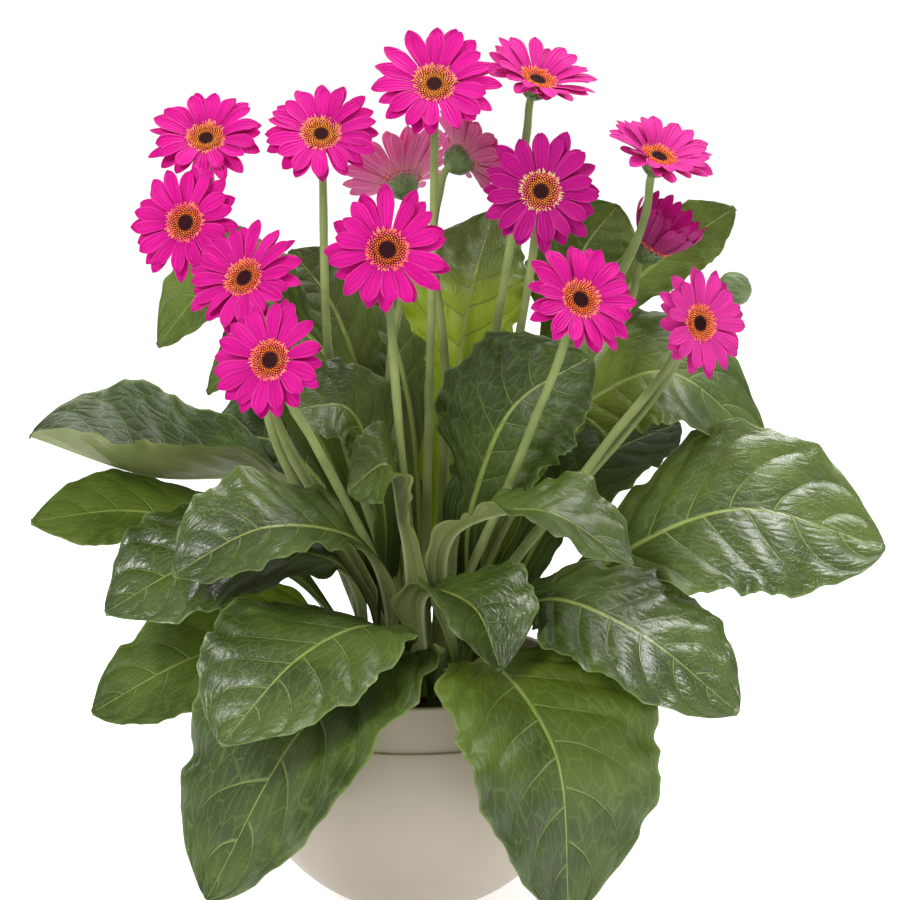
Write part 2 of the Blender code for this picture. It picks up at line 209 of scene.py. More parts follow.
def piece(name, groups, nodes):
    """One object of several groups of closed shells. A group is its points, as shells()
    takes them, its material, and numbers to store on its points by name."""
    vertices, quads, material, looks, fields = [], [], [], [], {}
    start = 0
    for points, look, numbers in groups:
        v, q = shells(points)
        if look not in looks:
            looks.append(look)
        vertices.append(v)
        quads.append(q + start)
        material.append(np.full(len(q), looks.index(look)))
        for key, value in numbers.items():
            fields.setdefault(key, []).append(
                (start, np.broadcast_to(value, points.shape[:3]).reshape(-1)))
        start += len(v)
    vertices = np.concatenate(vertices)
    quads = np.concatenate(quads)
    mesh = bpy.data.meshes.new(name)
    mesh.vertices.add(len(vertices))
    mesh.vertices.foreach_set("co", vertices.astype(np.float32).reshape(-1))
    mesh.loops.add(quads.size)
    mesh.loops.foreach_set("vertex_index", quads.astype(np.int32).reshape(-1))
    mesh.polygons.add(len(quads))
    mesh.polygons.foreach_set("loop_start", np.arange(0, quads.size, 4, dtype=np.int32))
    mesh.polygons.foreach_set("material_index", np.concatenate(material).astype(np.int32))
    for look in looks:
        mesh.materials.append(look)
    for key, stretches in fields.items():
        values = np.zeros(len(vertices), np.float32)
        for first, numbers in stretches:
            values[first:first + len(numbers)] = numbers
        mesh.attributes.new(key, "FLOAT", "POINT").data.foreach_set("value", values)
    mesh.update(calc_edges=True)
    mesh.shade_smooth()
    mesh.set_sharp_from_angle(angle=SHARP_FROM)
    made = in_scene(name, mesh)
    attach(made, "root")
    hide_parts(*nodes)


BALL_RADIUS = 130 * MM
FOOT_RADIUS = 45 * MM
WALL = 5 * MM
FLOOR = 8 * MM
LEDGE_ABOVE_CENTRE = 30 * MM
LEDGE_STEP = 2.5 * MM
RIM_BAND = 32 * MM
RIM_LEAN = 7 * MM
RIM_ROUNDING = 2 * MM
HOLLOW = 1.2 * MM           # rounding in the corner between the ledge and the band
LEDGE_ROUNDING = 1.0 * MM
POLE = 0.2 * MM             # the small ring that closes a turned shape at its axis
SOIL_BELOW_RIM = 19 * MM
POT_SIDES = 160

ball_centre = math.sqrt(BALL_RADIUS**2 - FOOT_RADIUS**2)
ledge_height = ball_centre + LEDGE_ABOVE_CENTRE
ledge_radius = math.sqrt(BALL_RADIUS**2 - LEDGE_ABOVE_CENTRE**2)
rim_height = ledge_height + RIM_BAND
rim_radius = ledge_radius - LEDGE_STEP - RIM_LEAN
soil_height = rim_height - SOIL_BELOW_RIM


def ball_arc(radius, low, high, count):
    """(radius, height) points on the pot's ball between two heights."""
    first = math.asin((low - ball_centre) / radius)
    last = math.asin((high - ball_centre) / radius)
    a = np.linspace(first, last, count)
    return np.stack([radius * np.cos(a), ball_centre + radius * np.sin(a)], axis=1)


def arc(centre_radius, centre_height, radius, first, last, count=5):
    """(radius, height) points on a rounding, between two angles in degrees from level."""
    a = np.radians(np.linspace(first, last, count))
    return np.stack([centre_radius + radius * np.cos(a), centre_height + radius * np.sin(a)], axis=1)


def turned(profile, sides):
    """Points of a solid turned about the Z axis: (r cos a, r sin a, z) for each (r, z) of a
    closed profile. As a shell, its rings are the profile's points, so it starts and ends on
    the axis, at the middle of its top and of its foot."""
    a = np.arange(sides) * math.tau / sides
    profile = np.array(profile)
    r = profile[:, 0][:, None]
    z = np.broadcast_to(profile[:, 1][:, None], (len(profile), sides))
    return np.stack([r * np.cos(a), r * np.sin(a), z], axis=-1)[None]


rim_middle = rim_radius - RIM_ROUNDING
inside_middle = rim_radius - WALL + RIM_ROUNDING
pot_profile = np.concatenate([
    [(POLE, FLOOR)],
    ball_arc(BALL_RADIUS - WALL, FLOOR, ledge_height - WALL, 24),
    arc(inside_middle, rim_height - RIM_ROUNDING, RIM_ROUNDING, 180, 90),
    arc(rim_middle, rim_height - RIM_ROUNDING, RIM_ROUNDING, 90, 0),
    arc(ledge_radius - LEDGE_STEP + HOLLOW, ledge_height + 1.4 * MM, HOLLOW, 180, 250, 4),
    arc(ledge_radius - LEDGE_ROUNDING, ledge_height - 0.6 * MM, LEDGE_ROUNDING, 90, 10),
    ball_arc(BALL_RADIUS, 1.5 * MM, ledge_height - 2.5 * MM, 48)[::-1],
    [(FOOT_RADIUS - 0.6 * MM, 0.3 * MM), (FOOT_RADIUS - 2 * MM, 0), (POLE, 0)],
])

glaze = Graph("pot_glaze")
cloud = glaze.noise(9.0, 4.0)
speck = glaze.noise(420.0, 2.0)
colour = glaze.mix(glaze.ramp(cloud, 0.3, 0.7), tone(170, 159, 145), tone(180, 169, 156))
colour = glaze.mix(glaze.ramp(speck, 0.62, 0.75, 0.0, 0.10), colour, tone(140, 128, 112))
glaze.set(Base_Color=colour, Roughness=glaze.ramp(cloud, 0.3, 0.7, 0.40, 0.50),
          Specular_IOR_Level=0.45, Coat_Weight=0.12, Coat_Roughness=0.25)
glaze.bump(glaze.plus(glaze.noise(60.0, 3.0), glaze.times(speck, 0.15)), 0.25 * MM)

piece("pot_body", [(turned(pot_profile, POT_SIDES), glaze.material, {})], ["pot"])


# ================================================================ soil
# Dark potting mix that fills the pot to a little below the rim: crumbs of peat and bark,
# lying loose, so its surface is rough.

SOIL_SIDES = 96
SOIL_RINGS = 44
SOIL_CLEAR = 0.6 * MM       # how far the fill stays from the pot's wall, and
SOIL_FOOT = FLOOR + 1 * MM  # where it ends below
CRUMBS = 420
CRUMB_SIDES = 6
CRUMB_RINGS = [(-0.9, 0.3), (-0.3, 1.0), (0.4, 0.9), (0.9, 0.35)]   # (height, width) of each
CRUMB_HEIGHT = 0.7          # a crumb's height as a share of its width


def waves(x, y, scale, seed):
    """A smooth irregular height: sines along eight chance directions, summed."""
    draw = np.random.default_rng(seed)
    total = np.zeros(np.broadcast(x, y).shape)
    for k in range(8):
        a, phase = draw.uniform(0, math.tau, 2)
        pitch = scale * draw.uniform(0.6, 1.8)
        total += np.sin((x * math.cos(a) + y * math.sin(a)) * pitch + phase)
    return total / 8


r_share = np.linspace(0.002, 1, SOIL_RINGS)
soil_edge = rim_radius - WALL + 1.0 * MM
top = np.stack([r_share * soil_edge, np.full(SOIL_RINGS, soil_height)], axis=1)
side = ball_arc(BALL_RADIUS - WALL - SOIL_CLEAR, SOIL_FOOT, ledge_height - WALL, 16)[::-1]
soil_points = turned(np.concatenate([top, side, [(POLE, SOIL_FOOT)]]), SOIL_SIDES)
x, y = soil_points[0, :SOIL_RINGS, :, 0], soil_points[0, :SOIL_RINGS, :, 1]
ridge = waves(x, y, 160, 3) * 3.5 + waves(x, y, 420, 4) * 2.2 + waves(x, y, 1100, 5) * 1.4
edge_fade = np.clip((1 - r_share) * 12, 0, 1)[:, None]
soil_points[0, :SOIL_RINGS, :, 2] += (ridge * edge_fade - 1.0) * MM

# A crumb is a small lump of four rings, each point drawn in or out by chance.
draw = np.random.default_rng(11)
each = (CRUMBS, 1, 1)
crumb_r = (soil_edge - 6 * MM) * np.sqrt(draw.uniform(0, 1, each))
crumb_a = draw.uniform(0, math.tau, each)
crumb_size = draw.uniform(0.8, 2.6, each) * MM
ring_a = np.arange(CRUMB_SIDES) * math.tau / CRUMB_SIDES
ring_h, ring_w = np.array(CRUMB_RINGS).T[..., None]
rough = draw.uniform(0.7, 1.3, (CRUMBS, len(CRUMB_RINGS), CRUMB_SIDES))
reach = crumb_size * rough * ring_w
crumbs = np.stack([crumb_r * np.cos(crumb_a) + reach * np.cos(ring_a),
                   crumb_r * np.sin(crumb_a) + reach * np.sin(ring_a),
                   soil_height + crumb_size * CRUMB_HEIGHT * ring_h * rough], axis=-1)

earth = Graph("potting_mix")
clods = earth.noise(260.0, 5.0, rough=0.7)
colour = earth.mix(earth.ramp(clods, 0.35, 0.7), tone(38, 28, 21), tone(84, 64, 47))
earth.set(Base_Color=colour, Roughness=0.95, Specular_IOR_Level=0.2)
earth.bump(clods, 1.2 * MM)

piece("potting_mix", [(soil_points, earth.material, {}), (crumbs, earth.material, {})],
      ["soil"])


# ================================================================ leaves
# Broad, arching leaves that rise from the crown, each blade grown in one with its stalk.
# The blade is thin, glossy and dark above, quilted between its side veins, pale and dull
# below, with a pale midrib that stands out underneath and a waved, lobed margin.

CROWN = (10 * MM, -5 * MM)
GAP = 0.4 * MM
STALK_LEAN = 0.35
STALK_RADIUS = 2.8 * MM
FULLNESS = (0.45, 0.25)     # powers of the outline at its base, and what the tip adds
USUAL_WIDTH = 150           # mm: narrower leaves have smaller waves and quilting
RING_SPACING = 1.6 * MM
COLUMN_SPACING = 5.0        # mm
WAVE = 5 * MM
WAVE_TURNS = 5.5
FULL_WAVES = 28 * MM        # the half width from which a blade waves in full
# Sums of sines along the margin: (height, turns, how far left and right are out of step)
TEETH = ((0.45, 17, 1.7), (0.33, 31, -1), (0.22, 53, 2))
LOBES = ((2.7 * MM, 17, 1), (0.7 * 2.7 * MM, 29, 2))
FRILL = ((1.3 * MM, 52, 2),)
QUILTING = 3.4              # mm, how high the blade puffs between its side veins
CHANNEL = 0.9 * MM          # how deep the midrib lies in the blade's upper face
STEADY = 0.7
LAST_STATION = 2.9996       # just short of the tip, so that its ring has a width
BLADE_HALF_THICKNESS = 0.45 * MM
MIDRIB_BELOW = 2.6 * MM     # how far the midrib stands out under the blade at its base
MIDRIB_WIDTH = 2.6 * MM     # half its width there
SIDE_VEINS = 6.5            # side veins on each half of a blade
SWEEP = (0.12, 0.17)        # how far they lean, and bend, to the tip on the way out
STALK_RINGS = 36
WING = 18.4 * MM            # how far the blade's narrow edge stands out along its stalk


def unit(vector):
    return vector / np.linalg.norm(vector)


def units(vectors):
    return vectors / np.linalg.norm(vectors, axis=-1)[..., None]


def smooth_path(points, start, end, stations):
    """Points and unit tangents of a smooth curve through points, at stations from 0 to the
    number of spans. Each span is a cubic whose end slopes are the chords' weighted mean."""
    p = np.array(points, float)
    span = np.linalg.norm(np.diff(p, axis=0), axis=1)
    chord = np.diff(p, axis=0) / span[:, None]
    slope = np.empty_like(p)
    before = span[:-1, None]
    after = span[1:, None]
    slope[1:-1] = (chord[1:] * before + chord[:-1] * after) / (before + after)
    slope[0] = unit(np.array(start, float))
    slope[-1] = unit(np.array(end, float))
    s = np.array(stations, float)
    i = np.minimum(s.astype(int), len(span) - 1)
    u = (s - i)[:, None]
    h = span[i][:, None]
    place = ((2 * u**3 - 3 * u**2 + 1) * p[i] + (u**3 - 2 * u**2 + u) * h * slope[i]
             + (3 * u**2 - 2 * u**3) * p[i + 1] + (u**3 - u**2) * h * slope[i + 1])
    tangent = ((6 * u**2 - 6 * u) * (p[i] - p[i + 1]) / h + (3 * u**2 - 4 * u + 1) * slope[i]
               + (3 * u**2 - 2 * u) * slope[i + 1])
    return place, units(tangent)


def crown_spot(ring, angle):
    """A point just above the soil, on a ring about the crown."""
    a = math.radians(angle)
    return np.array([CROWN[0] + ring * math.cos(a), CROWN[1] + ring * math.sin(a),
                     soil_height + GAP])


def above_soil(point):
    return np.array(point) * MM + np.array([0, 0, soil_height])


def step(value, low, high):
    """0 below low, 1 above high, smooth between."""
    x = np.clip((value - low) / (high - low), 0, 1)
    return x * x * (3 - 2 * x)


def vein_phase(t, v):
    """A number that is whole and a half on each side vein: veins leave the midrib evenly
    along t, left and right out of step, and lean to the tip as they near the margin."""
    a = np.abs(v)
    return SIDE_VEINS * (t - SWEEP[0] * a - SWEEP[1] * a * a) + 0.4 * (v > 0)


def ripple(along, seed, hand, parts):
    """The nth part is height * sin(turns * along + n * seed + skew * hand), and they are
    summed. hand is 1 on the left half of a blade and -1 on the right."""
    return sum(height * np.sin(turns * along + n * seed + skew * hand)
               for n, (height, turns, skew) in enumerate(parts, 1))


def leaf(name, ring, angle, neck, crest, tip, width, fold=12, roll=0, belly=0.5,
         quilt=1.0, lobes=1.0, light_and_shade=0.5, gloss=0.5, painted_glow=0.0):
    """A leaf on its CAD midrib. A ring of points lies across the midrib at each station.
    Point (t, v), t from 0 at the stalk to 1 at the tip and v from -1 to 1 across, lies
    at midrib(t) + left * w(t) * v + up * (w * |v| * sin(fold) + waves + quilting), where w
    is half the width. Rings run over the top from left to right and back below."""
    base = crown_spot(ring, angle)
    marks = [base] + [above_soil(p) for p in (neck, crest, tip)]
    outward = unit(np.array([*(marks[1] - base)[:2], 0]))
    length = np.linalg.norm(marks[2] - marks[1]) + np.linalg.norm(marks[3] - marks[2])
    blade_rings = int(np.clip(length / RING_SPACING, 60, 150))
    across = 2 * int(np.clip(width / COLUMN_SPACING, 12, 30)) + 1
    closer_at_tip = 1 - (1 - np.linspace(0, 1, blade_rings)) ** 1.35
    stations = np.concatenate([np.linspace(0, 1, STALK_RINGS, endpoint=False),
                               1 + closer_at_tip * (LAST_STATION - 1)])
    place, along = smooth_path(marks, np.array([0, 0, 1]) + STALK_LEAN * outward,
                               marks[3] - marks[2], stations)
    heading = unit(np.array([*(marks[3] - base)[:2], 0]))
    level = np.array([-heading[1], heading[0], 0])
    s = stations[:, None]
    grip = np.minimum(1, s)
    forward = units(along + unit(marks[3] - marks[1]) * STEADY * grip**2)
    flat = units(level - forward * (forward @ level)[:, None])
    over = np.cross(forward, flat)
    turn = math.radians(roll) * grip
    left = flat * np.cos(turn) + over * np.sin(turn)
    up = over * np.cos(turn) - flat * np.sin(turn)

    t = np.clip((s - 1) / 2, 0, 1)
    v = np.linspace(1, -1, across)[None, :]
    stretch = t ** (math.log(0.5) / math.log(belly))
    outline = np.sin(math.pi * np.clip(stretch, 0, 1)) ** (FULLNESS[0] + FULLNESS[1] * stretch)
    seed = angle * 0.7 + width
    hand = np.sign(v)
    q = (s - 1) / 2
    out = np.abs(v)
    tooth = ripple(q, seed, hand, TEETH) * (0.05 + 0.22 * (1 - t) ** 4) * step(out, 0.35, 1)
    notch = 0.03 * np.abs(np.sin(43 * q + seed * hand)) * step(out, 0.6, 1)
    tooth = lobes * (tooth - notch)
    wing_from, wing_full = (0.08, 0.7) if ring < OUT else (0.15, 0.85)
    wing = STALK_RADIUS + WING * step(s, wing_from, wing_full) * (1 - t)
    half = np.maximum(wing, 0.5 * width * MM * outline)
    grown = step(half, STALK_RADIUS * 1.3, STALK_RADIUS * 3.5)
    half = half * (1 + tooth * step(half, STALK_RADIUS * 1.5, STALK_RADIUS * 3.5))
    bend = math.radians(fold) * grown
    side = half * v * np.cos(bend)

    size = width / USUAL_WIDTH
    thin = np.minimum(1, half / FULL_WAVES)
    slow = np.sin(WAVE_TURNS * t + angle) * WAVE * v * out * thin
    quick = ripple(t, seed, hand, LOBES) + ripple(t, seed, hand, FRILL)
    fade = grown * np.minimum(1, 4 * (1 - t))
    phase = vein_phase(t, v)
    puff = np.abs(np.sin(math.pi * (phase + 0.5)))**0.6
    inner = step(out, 0.02, 0.3) * (1 - 0.75 * step(out, 0.82, 1))
    crumple = waves(t * length, side, 60, int(angle) + 70) * 1.5
    pad = quilt * size * grown * thin * inner * MM * (QUILTING * (puff - 0.6) + crumple)
    from_midrib = side / (MIDRIB_WIDTH * (1.15 - t))
    channel = CHANNEL * np.exp(-(from_midrib * 1.3)**2) * grown * (1 - t)
    rise = (half * out**1.15 * np.sin(bend) + fade * (slow + quick * lobes * size * out**2.5)
            + pad - channel)
    round_side = np.sqrt(np.clip(1 - v * v, 0, 1))
    top = (STALK_RADIUS * round_side * (1 - 0.35 * grip) * (1 - grown)
           + BLADE_HALF_THICKNESS * np.minimum(1, 3 * round_side) * grown)
    rib = (MIDRIB_BELOW * (1.05 - t) * np.exp(-from_midrib**2)
           + 0.35 * MM * (1 - puff) * inner * (1 - 0.5 * out))
    below = STALK_RADIUS * round_side * (1 - grown) + (
        BLADE_HALF_THICKNESS * np.minimum(1, 3 * round_side) + rib) * grown
    spread = left[:, None] * side[..., None] + place[:, None]
    upper = spread + up[:, None] * (rise + top)[..., None]
    lower = spread + up[:, None] * (rise - below)[..., None]
    points = np.concatenate([upper, lower[:, ::-1]], axis=1)[None]

    def both(field):
        """A number over the upper face and, in the other direction, back below."""
        field = np.broadcast_to(field, (len(stations), across))
        return np.concatenate([field, field[:, ::-1]], axis=1)

    numbers = {"along": both(t), "across": both(v), "half": both(half), "grown": both(grown),
               "phase": both(phase), "top": np.repeat([1.0, 0.0], across),
               "light_and_shade": light_and_shade, "gloss": gloss, "painted_glow": painted_glow}
    piece(f"foliage_{name}", [(points, LEAF.material, numbers)], [f"leaf_{name}"])


def leaf_material():
    """Green blade with a pale midrib and side veins. The side veins follow the mesh's own
    phase field, so their lines lie in the furrows of the quilting."""
    g = Graph("leaf_blade")
    v = g.field("across")
    t = g.field("along")
    a = g.math("ABSOLUTE", v)
    half = g.field("half")
    top = g.ramp(g.field("top"), 0.4, 0.6)
    reach = g.times(a, half)
    jitter = g.times(g.math("SUBTRACT", g.noise(28.0, 1.0), 0.5), 0.14)
    phase = g.plus(g.field("phase"), jitter)
    off = g.math("ABSOLUTE", g.math("SUBTRACT", g.math("FRACT", phase), 0.5))
    vein_width = g.ramp(a, 0.0, 0.9, 0.050, 0.012)
    vein = g.times(g.ramp(g.math("DIVIDE", off, vein_width), 0.25, 1.0, 1.0, 0.0),
                   g.ramp(a, 0.82, 0.97, 1.0, 0.0))
    rib_width = g.ramp(t, 0.0, 1.0, 2.4 * MM, 0.35 * MM)
    rib = g.ramp(g.math("DIVIDE", reach, rib_width), 0.45, 1.15, 1.0, 0.0)

    warp = g.times(g.math("SUBTRACT", g.noise(60.0, 1.0), 0.5), 0.5)
    net = g.cells(1.0, g.place(g.plus(g.times(phase, 2.0), warp),
                               g.plus(g.times(v, 9.0), warp), 0.0))
    mesh_vein = g.ramp(net, 0.0, 0.07, 1.0, 0.0)
    fine_vein = g.ramp(g.cells(340.0, g.place()), 0.0, 0.10, 1.0, 0.0)

    # Painted light and shade: each blade's green runs from a dark tone to a light one by a number given
    # leaf by leaf, darker for leaves that sit in shade and lighter for those in the light.
    light_and_shade = g.field("light_and_shade")
    blotch = g.noise(16.0, 4.0)
    dark = g.mix(light_and_shade, tone(32, 44, 14), tone(70, 88, 22))
    light = g.mix(light_and_shade, tone(60, 78, 26), tone(108, 126, 44))
    blade = g.mix(g.ramp(blotch, 0.3, 0.7), dark, light)
    blade = g.lay(blade, fine_vein, 0.10, tone(104, 138, 62))
    blade = g.lay(blade, mesh_vein, 0.3, tone(112, 146, 66))
    # Painted light: a bright yellow-green laid on the blade from its base outwards, as much as the
    # leaf's glow number says, standing in for light on the blade.
    painted_glow_at_base = g.times(g.field("painted_glow"), g.ramp(t, 0.05, 0.75, 1.0, 0.0))
    blade = g.mix(painted_glow_at_base, blade, tone(142, 166, 26))
    blade = g.lay(blade, vein, 0.6, tone(136, 158, 84))
    blade = g.lay(blade, g.ramp(a, 0.955, 0.995), 0.45, tone(134, 156, 84))
    blade = g.lay(blade, rib, 0.88, tone(150, 168, 84))
    under = g.mix(g.ramp(blotch, 0.3, 0.7), tone(120, 132, 76), tone(144, 154, 96))
    under = g.lay(under, vein, 0.6, tone(164, 178, 128))
    under = g.lay(under, mesh_vein, 0.25, tone(96, 120, 70))
    under = g.mix(rib, under, tone(172, 184, 134))
    colour = g.mix(top, under, blade)
    # The stalks' green is darker than their own colour: painted shade, for the dim crown they stand in.
    stalk_green_and_shade = g.mix(g.ramp(g.noise(30.0), 0.3, 0.7), tone(70, 90, 36), tone(102, 122, 54))
    colour = g.mix(g.field("grown"), stalk_green_and_shade, colour)
    gloss = g.times(g.times(g.field("gloss"), top), g.ramp(t, 0.1, 0.7, 0.25, 1.0))
    rough = g.ramp(gloss, 0.0, 1.0, 0.50, 0.24)
    rough = g.plus(rough, g.times(g.math("SUBTRACT", g.noise(38.0, 4.0), 0.5), 0.16))
    g.set(Base_Color=colour, Roughness=rough, Specular_IOR_Level=g.ramp(gloss, 0.0, 1.0, 0.22, 0.75),
          Coat_Weight=g.times(gloss, 0.20), Coat_Roughness=0.22)
    soft_net = g.ramp(net, 0.0, 0.30, 1.0, 0.0)
    height = g.plus(g.times(soft_net, -0.26), g.times(fine_vein, -0.07))
    height = g.plus(height, g.times(vein, -0.9))
    height = g.plus(height, g.times(g.noise(70.0, 2.0), 0.3))
    g.bump(height, 1.0 * MM)
    g.let_through(g.mix(0.5, colour, tone(150, 190, 30)), g.times(g.field("grown"), 0.17))
    return g


LEAF = leaf_material()
OUT = 42 * MM               # the outer and the inner ring about the crown on which stalks stand
IN = 30 * MM

# name, ring, angle on it, neck, crest and tip in mm above the soil, width in mm
# Besides its shape, each leaf's numbers paint the light it sits in: how lit or shaded its green looks,
# and for some a yellow-green glow.
leaf("left_high", OUT, 152,
     (-105, 42, 150), (-205, 60, 153), (-295, 50, 185), 175, fold=32, belly=0.56,
     light_and_shade=0.1, gloss=0.4, quilt=0.35, lobes=0.6)
leaf("left_pointed", OUT, 170,
     (-130, 10, 115), (-220, 25, 132), (-290, 10, 127), 88, fold=5, roll=-25,
     light_and_shade=0.7, gloss=0.15, quilt=0.6, lobes=0.6)
leaf("left_glossy", OUT, 202,
     (-54, -32, 104), (-155, -53, 113), (-225, -77, 80), 144, fold=6, roll=-17,
     light_and_shade=0.25, gloss=1.0, quilt=1.1)
leaf("left_mid", IN, 232,
     (-44, -66, 134), (-105, -92, 148), (-172, -108, 117), 115, fold=15, roll=-24,
     light_and_shade=0.35, gloss=0.7, quilt=0.8, lobes=1.3)
leaf("front_left", OUT, 228,
     (-22, -86, 70), (-80, -171, 72), (-130, -214, 24), 144, fold=8, roll=-5,
     light_and_shade=0.35, gloss=0.65, quilt=0.8)
leaf("left_low", OUT, 187,
     (-70, -30, 55), (-160, -45, 38), (-240, -50, -5), 120, fold=5, roll=-30,
     light_and_shade=0.6, gloss=0.2, quilt=0.7, painted_glow=0.5)
leaf("front_left_hanging", OUT, 248,
     (0, -90, 53), (-70, -165, 27), (-145, -187, -100), 184, belly=0.58,
     light_and_shade=0.35, gloss=0.5, quilt=0.8)
leaf("front_right_hanging", OUT, 295,
     (52, -92, 47), (100, -172, 9), (112, -192, -112), 164, belly=0.5,
     light_and_shade=0.4, gloss=0.45, quilt=0.8, painted_glow=0.2)
leaf("right_low", OUT, 322,
     (95, -60, 85), (160, -105, 75), (235, -130, 20), 132, fold=5, roll=22,
     light_and_shade=0.35, gloss=1.0, quilt=1.1)
leaf("right_big", OUT, 350,
     (145, -20, 103), (240, -25, 145), (352, -30, 117), 156, fold=3, roll=40, belly=0.54,
     light_and_shade=0.6, gloss=0.9, quilt=0.8)
leaf("right_arched", OUT, 305,
     (38, -80, 148), (93, -102, 163), (158, -122, 128), 98, fold=15, roll=5,
     light_and_shade=0.45, gloss=0.6, quilt=0.8, lobes=1.6)
leaf("front_small", OUT, 275,
     (14, -78, 97), (46, -112, 92), (64, -135, 53), 90, fold=28,
     light_and_shade=0.35, gloss=0.7, quilt=0.7, lobes=1.1)
leaf("centre_dark", IN, 326,
     (46, -23, 155), (77, -21, 225), (132, -18, 260), 112, fold=8, roll=65,
     light_and_shade=0.1, gloss=0.3, quilt=0.8, lobes=1.5)
leaf("back_right_folded", IN, 33,
     (126, 63, 204), (188, 67, 232), (272, 60, 174), 129, fold=8, roll=40,
     light_and_shade=0.6, gloss=0.5, quilt=0.7, painted_glow=0.3)
leaf("back_right_upper", IN, 62,
     (115, 115, 255), (135, 138, 320), (160, 145, 350), 92, roll=45,
     light_and_shade=0.8, gloss=0.2, quilt=0.6)
leaf("back_right_tip", IN, 47,
     (150, 105, 275), (205, 125, 320), (250, 130, 350), 60, roll=50,
     light_and_shade=0.95, gloss=0.2, quilt=0.6)
leaf("centre_upper", IN, 75,
     (33, 80, 223), (45, 98, 293), (62, 115, 350), 105, fold=8,
     light_and_shade=0.6, gloss=0.5, quilt=1.0, painted_glow=2.2, lobes=1.6)
leaf("left_back", IN, 138,
     (-85, 86, 260), (-150, 106, 297), (-200, 96, 247), 98, roll=-45,
     light_and_shade=0.85, gloss=0.2, quilt=0.6)
leaf("left_back_lower", IN, 152,
     (-90, 65, 205), (-125, 75, 245), (-160, 70, 215), 62, roll=-40,
     light_and_shade=0.7, gloss=0.2, quilt=0.6)
leaf("upper_left", IN, 114,
     (-42, 98, 220), (-72, 130, 285), (-98, 140, 315), 72, roll=-20,
     light_and_shade=0.5, gloss=0.4)
leaf("centre_left", IN, 193,
     (-26, -12, 160), (-52, -16, 222), (-90, -32, 222), 88, roll=-45,
     light_and_shade=0.3, gloss=0.4, lobes=1.4)
leaf("left_dark", OUT, 133,
     (-65, 78, 130), (-115, 98, 172), (-168, 106, 165), 118, roll=-40,
     light_and_shade=0.05, gloss=0.4)
leaf("centre_back", IN, 98,
     (-6, 110, 205), (-25, 150, 270), (-42, 175, 320), 85,
     light_and_shade=0.5, gloss=0.4)
leaf("centre_small", IN, 245,
     (-7, -64, 145), (-20, -70, 190), (-47, -72, 170), 74, roll=-35,
     light_and_shade=0.5, gloss=0.4, lobes=1.4)
leaf("right_dark", OUT, 8,
     (98, 24, 114), (150, 63, 167), (206, 84, 188), 108, roll=20,
     light_and_shade=0.1, gloss=0.3, quilt=0.7)
leaf("back_low_right", OUT, 62,
     (40, 72, 70), (86, 130, 152), (130, 177, 190), 136, roll=10,
     light_and_shade=0.4, gloss=0.5)
leaf("back_low_left", OUT, 112,
     (-14, 74, 70), (-50, 138, 152), (-70, 192, 192), 120, roll=-10,
     light_and_shade=0.4, gloss=0.5)


# ================================================================ flower stems
# Bare green stems from the crown, finely ribbed and downy, each widening at its top into the
# cup of overlapping green bracts that holds the head. The last one carries the closed bud.

STEM_LEAN = 1.2
STEM_RADIUS = 3.1 * MM
STEM_SIDES = 20
STEM_RINGS = 52
NECK_RINGS = 12
NECK_BACK = 10 * MM
NECK_DROP = 16 * MM
CUP_RADIUS = 11 * MM
CUP_DEPTH = 11 * MM
CUP_RINGS = 12
HEAD_BACK = 3 * MM
OUTER_STEM_RING = 20 * MM
INNER_STEM_RING = 8.5 * MM
BRACTS_IN_ROW = 15
# (where a row's bracts start and end, as shares of the cup's depth, and how wide they are)
BRACT_ROWS = [(0.02, 0.66, 0.9), (0.22, 1.05, 1.0), (0.42, 1.5, 1.1)]
BRACT_ACROSS = np.array([-1, -0.5, 0, 0.5, 1, 0.5, 0, -0.5])    # once round a bract

downy = Graph("stem_green")
patch = downy.noise(26.0, 3.0)
rise = downy.field("rise")
colour = downy.mix(downy.ramp(patch, 0.3, 0.7), tone(104, 120, 62), tone(136, 150, 86))
colour = downy.mix(downy.ramp(rise, 0.0, 0.35, 0.7, 0.0), colour, tone(156, 168, 104))
colour = downy.mix(downy.ramp(rise, 0.75, 1.0, 0.0, 0.35), colour, tone(112, 134, 66))
downy.set(Base_Color=colour, Roughness=0.55, Specular_IOR_Level=0.35, Sheen_Weight=0.35,
          Sheen_Roughness=0.4, Sheen_Tint=tone(225, 230, 200), Subsurface_Weight=0.12,
          Subsurface_Scale=0.004, Subsurface_Radius=(1.0, 1.0, 0.4))
downy.bump(downy.noise(900.0, 2.0), 0.10 * MM)

leafy = Graph("bract_green")
patch = leafy.noise(120.0, 3.0)
colour = leafy.mix(leafy.ramp(patch, 0.3, 0.7), tone(62, 86, 42), tone(92, 118, 64))
colour = leafy.mix(leafy.ramp(leafy.field("tip"), 0.4, 1.0, 0.0, 0.55), colour, tone(120, 128, 78))
colour = leafy.mix(leafy.ramp(leafy.field("margin"), 0.5, 1.0, 0.0, 0.6), colour, tone(128, 144, 96))
leafy.set(Base_Color=colour, Roughness=0.6, Sheen_Weight=0.12, Sheen_Roughness=0.4,
          Sheen_Tint=tone(225, 232, 205))
leafy.bump(leafy.noise(700.0, 3.0), 0.25 * MM)


def direction(azimuth, elevation):
    a = math.radians(azimuth)
    e = math.radians(elevation)
    return np.array([math.cos(e) * math.cos(a), math.cos(e) * math.sin(a), math.sin(e)])


def head_frame(facing):
    """The axis a head faces along, with two directions across it."""
    axis = direction(*facing)
    right = unit(np.cross([0, 0, 1], axis))
    return axis, right, np.cross(axis, right)


